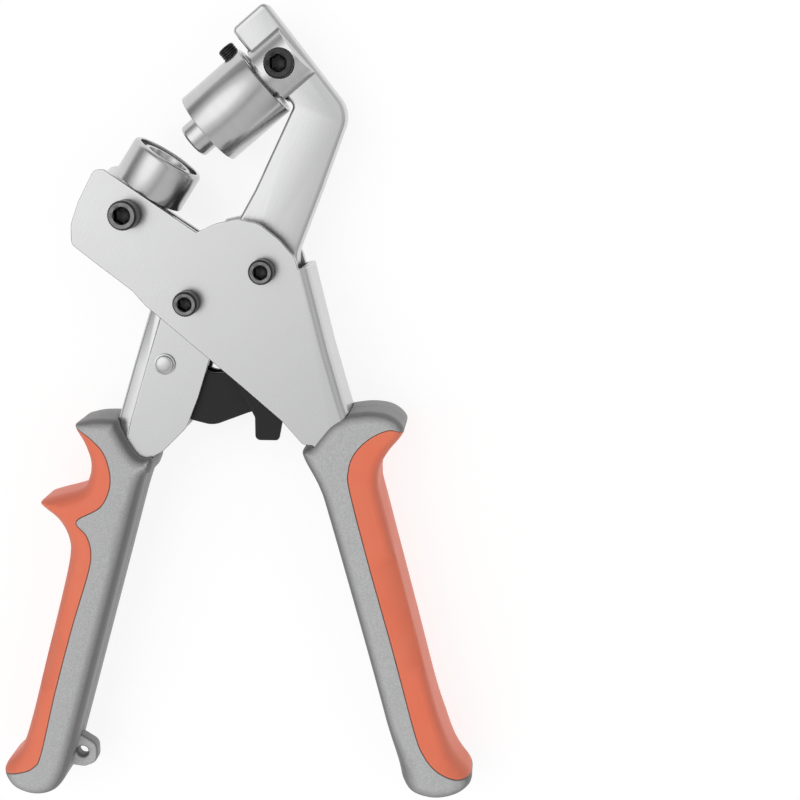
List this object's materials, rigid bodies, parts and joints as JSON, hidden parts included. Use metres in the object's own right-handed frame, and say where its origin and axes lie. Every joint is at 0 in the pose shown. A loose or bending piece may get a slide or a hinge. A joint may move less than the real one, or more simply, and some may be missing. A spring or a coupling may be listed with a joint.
{
  "type": "grommet setter",
  "caption": "Hand plier that sets grommets: a punch head on a pivoting jaw closes coaxially on a die cup in a folded-sheet frame, driven by a lever handle through a pair of links.",
  "frame": {"origin": "under the middle of the bounding box of the tool lying flat on its back", "axes": "+Y from the handles to the jaw, +X towards the fixed handle's side, +Z out of the front plate, parallel to every pivot"},
  "size_m": [0.1714, 0.282, 0.0355],
  "materials": {
    "nickel_plated_sheet": "satin nickel plate with fine directional grain",
    "turned_steel": "turned and polished steel",
    "plain_steel": "plain machined steel",
    "black_oxide": "black oxide, slightly oily",
    "black_coated_steel": "matte black coating",
    "grip_grey": "fine sandy moulded texture",
    "panel_orange": "smooth soft matte moulding"
  },
  "bodies": {
    "frame": {"frame_channel": "nickel_plated_sheet", "jaw_pivot_screw": "black_oxide", "jaw_pivot_spring_washer": "black_oxide", "jaw_pivot_nut": "black_oxide", "lever_pivot_screw": "black_oxide", "lever_pivot_spring_washer": "black_oxide", "lever_pivot_nut": "black_oxide", "die_screw": "black_oxide", "die_screw_spring_washer": "black_oxide", "die_screw_nut": "black_oxide", "jaw_pivot_bushing": "plain_steel", "lever_pivot_bushing": "plain_steel", "jaw_spacer_front": "plain_steel", "jaw_spacer_back": "plain_steel", "lever_spacer_front": "plain_steel", "lever_spacer_back": "plain_steel", "die_cup": "turned_steel", "die_curling_ring": "turned_steel", "latch_pin": "plain_steel", "fixed_grip": "grip_grey", "fixed_grip_panel": "panel_orange"},
    "lever": {"lever_channel": "nickel_plated_sheet", "link_rivet": "nickel_plated_sheet", "latch_catch_pin": "plain_steel", "lever_grip": "grip_grey", "lever_grip_panel": "panel_orange"},
    "link": {"drive_link_front": "black_coated_steel", "drive_link_back": "black_coated_steel"},
    "jaw": {"jaw_arm": "nickel_plated_sheet", "punch_head": "turned_steel", "punch_pin": "turned_steel", "head_screw": "black_oxide", "head_set_screw": "black_oxide", "tail_pin": "plain_steel"},
    "latch": {"storage_latch": "black_coated_steel"}
  },
  "joints": [
    {"name": "lever_pivot", "type": "hinge", "parent": "frame", "child": "lever", "pos_m": [-0.01192, 0.04247, 0.0155], "axis": [0, 0, 1], "range_deg": [0, 26.4]},
    {"name": "jaw_pivot", "type": "hinge", "parent": "frame", "child": "jaw", "pos_m": [0.01388, 0.05337, 0.0155], "axis": [0, 0, 1], "range_deg": [0, 16.9]},
    {"name": "link_pivot", "type": "hinge", "parent": "lever", "child": "link", "pos_m": [-0.02162, 0.02017, 0.0155], "axis": [0, 0, 1], "range_deg": [-20.2, 0]},
    {"name": "latch_pivot", "type": "hinge", "parent": "frame", "child": "latch", "pos_m": [0.02468, 0.02587, 0.0155], "axis": [0, 0, 1], "range_deg": [0, 15]}
  ],
  "couplings": [
    {"joint": "jaw_pivot", "follows": "lever_pivot", "ratio": 0.6364},
    {"joint": "link_pivot", "follows": "lever_pivot", "ratio": -0.7548}
  ]
}
